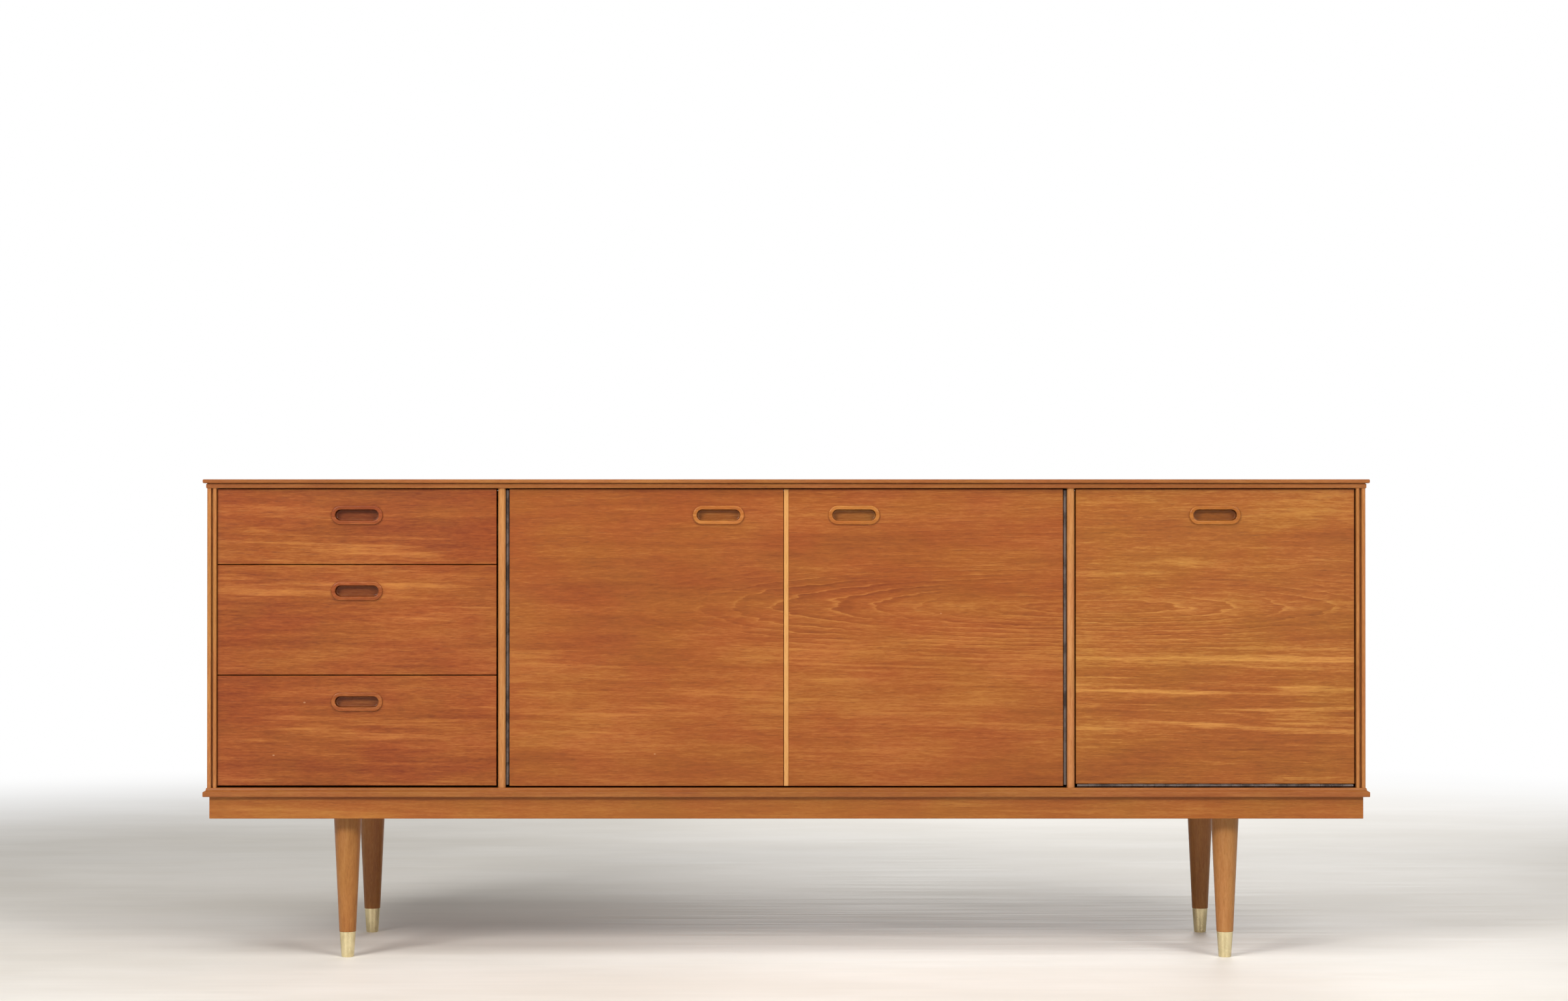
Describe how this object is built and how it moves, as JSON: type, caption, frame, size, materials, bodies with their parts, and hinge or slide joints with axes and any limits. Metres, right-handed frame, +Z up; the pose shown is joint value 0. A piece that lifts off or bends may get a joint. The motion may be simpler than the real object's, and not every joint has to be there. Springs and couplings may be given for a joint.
{
  "type": "sideboard",
  "caption": "Long low wooden sideboard on tapered legs with brass feet: drawers at the left, hinged doors in the middle and a drop flap at the right.",
  "frame": {"origin": "on the floor under the middle of the case", "axes": "+X to the right of someone facing the fronts, fronts face -Y, +Z up"},
  "size_m": [1.83, 0.45, 0.756],
  "materials": {
    "teak_veneer": "satin lacquered teak veneer, horizontal grain",
    "lipping_teak": "satin lacquered solid wood, lighter",
    "handle_teak": "satin lacquered solid teak",
    "pale_strip": "satin lacquered pale hardwood",
    "leg_teak": "satin lacquered turned hardwood",
    "inner_veneer": "thin lacquer on veneer",
    "beech": "waxed beech",
    "plywood": "plain plywood",
    "brass": "satin brass, slightly dulled",
    "hinge_steel": "tarnished steel piano hinge",
    "bright_steel": "zinc plated steel",
    "catch_plastic": "brown moulded plastic"
  },
  "bodies": {
    "carcase": {"apron_ends": "teak_veneer", "apron_rails": "teak_veneer", "back_left_leg": "leg_teak", "back_panel": "plywood", "back_right_leg": "leg_teak", "bottom_lippings": "lipping_teak", "bottom_panel": "teak_veneer", "case_hinge_leaves": "hinge_steel", "case_screws": "bright_steel", "divider_lippings": "lipping_teak", "dividers": "inner_veneer", "drawer_runners": "beech", "front_left_leg": "leg_teak", "front_right_leg": "leg_teak", "hanger_bolts": "bright_steel", "hinge_pins": "hinge_steel", "left_side_panel": "teak_veneer", "leg_ferrules": "brass", "leg_plates": "bright_steel", "magnetic_catches": "catch_plastic", "right_side_panel": "teak_veneer", "shelf": "inner_veneer", "shelf_pins": "bright_steel", "side_edge_lippings": "lipping_teak", "stay_bracket": "bright_steel", "top_lippings": "lipping_teak", "top_panel": "teak_veneer"},
    "top_drawer": {"top_drawer_back": "beech", "top_drawer_base": "plywood", "top_drawer_front": "teak_veneer", "top_drawer_handle": "handle_teak", "top_drawer_sides": "beech"},
    "middle_drawer": {"middle_drawer_back": "beech", "middle_drawer_base": "plywood", "middle_drawer_front": "teak_veneer", "middle_drawer_handle": "handle_teak", "middle_drawer_sides": "beech"},
    "bottom_drawer": {"bottom_drawer_back": "beech", "bottom_drawer_base": "plywood", "bottom_drawer_front": "teak_veneer", "bottom_drawer_handle": "handle_teak", "bottom_drawer_sides": "beech"},
    "left_door": {"left_door_handle": "handle_teak", "left_door_hinge_leaf": "hinge_steel", "left_door_panel": "teak_veneer", "left_door_screws": "bright_steel", "left_door_strike": "bright_steel"},
    "right_door": {"right_door_handle": "handle_teak", "right_door_hinge_leaf": "hinge_steel", "right_door_meeting_strip": "pale_strip", "right_door_panel": "teak_veneer", "right_door_screws": "bright_steel", "right_door_strike": "bright_steel"},
    "flap": {"flap_handle": "handle_teak", "flap_hinge_leaf": "hinge_steel", "flap_panel": "teak_veneer", "flap_screws": "bright_steel", "flap_strike": "bright_steel", "stay_pivot": "bright_steel"},
    "flap_stay": {"stay_arm": "bright_steel"}
  },
  "joints": [
    {"name": "top_drawer_slide", "type": "slide", "parent": "carcase", "child": "top_drawer", "axis": [0, -1, 0], "range_m": [0, 0.3]},
    {"name": "middle_drawer_slide", "type": "slide", "parent": "carcase", "child": "middle_drawer", "axis": [0, -1, 0], "range_m": [0, 0.3]},
    {"name": "bottom_drawer_slide", "type": "slide", "parent": "carcase", "child": "bottom_drawer", "axis": [0, -1, 0], "range_m": [0, 0.3]},
    {"name": "left_door_hinge", "type": "hinge", "parent": "carcase", "child": "left_door", "pos_m": [-0.4378, -0.212, 0.50765], "axis": [0, 0, -1], "range_deg": [0, 90]},
    {"name": "right_door_hinge", "type": "hinge", "parent": "carcase", "child": "right_door", "pos_m": [0.4378, -0.212, 0.50765], "axis": [0, 0, 1], "range_deg": [0, 90]},
    {"name": "flap_hinge", "type": "hinge", "parent": "carcase", "child": "flap", "pos_m": [0.67365, -0.212, 0.275], "axis": [1, 0, 0], "range_deg": [0, 90]},
    {"name": "stay_pivot_hinge", "type": "hinge", "parent": "flap", "child": "flap_stay", "pos_m": [0.887, -0.185, 0.44284], "axis": [1, 0, 0], "range_deg": [-45, 0]}
  ],
  "couplings": [
    {"joint": "stay_pivot_hinge", "follows": "flap_hinge", "ratio": -0.5}
  ]
}
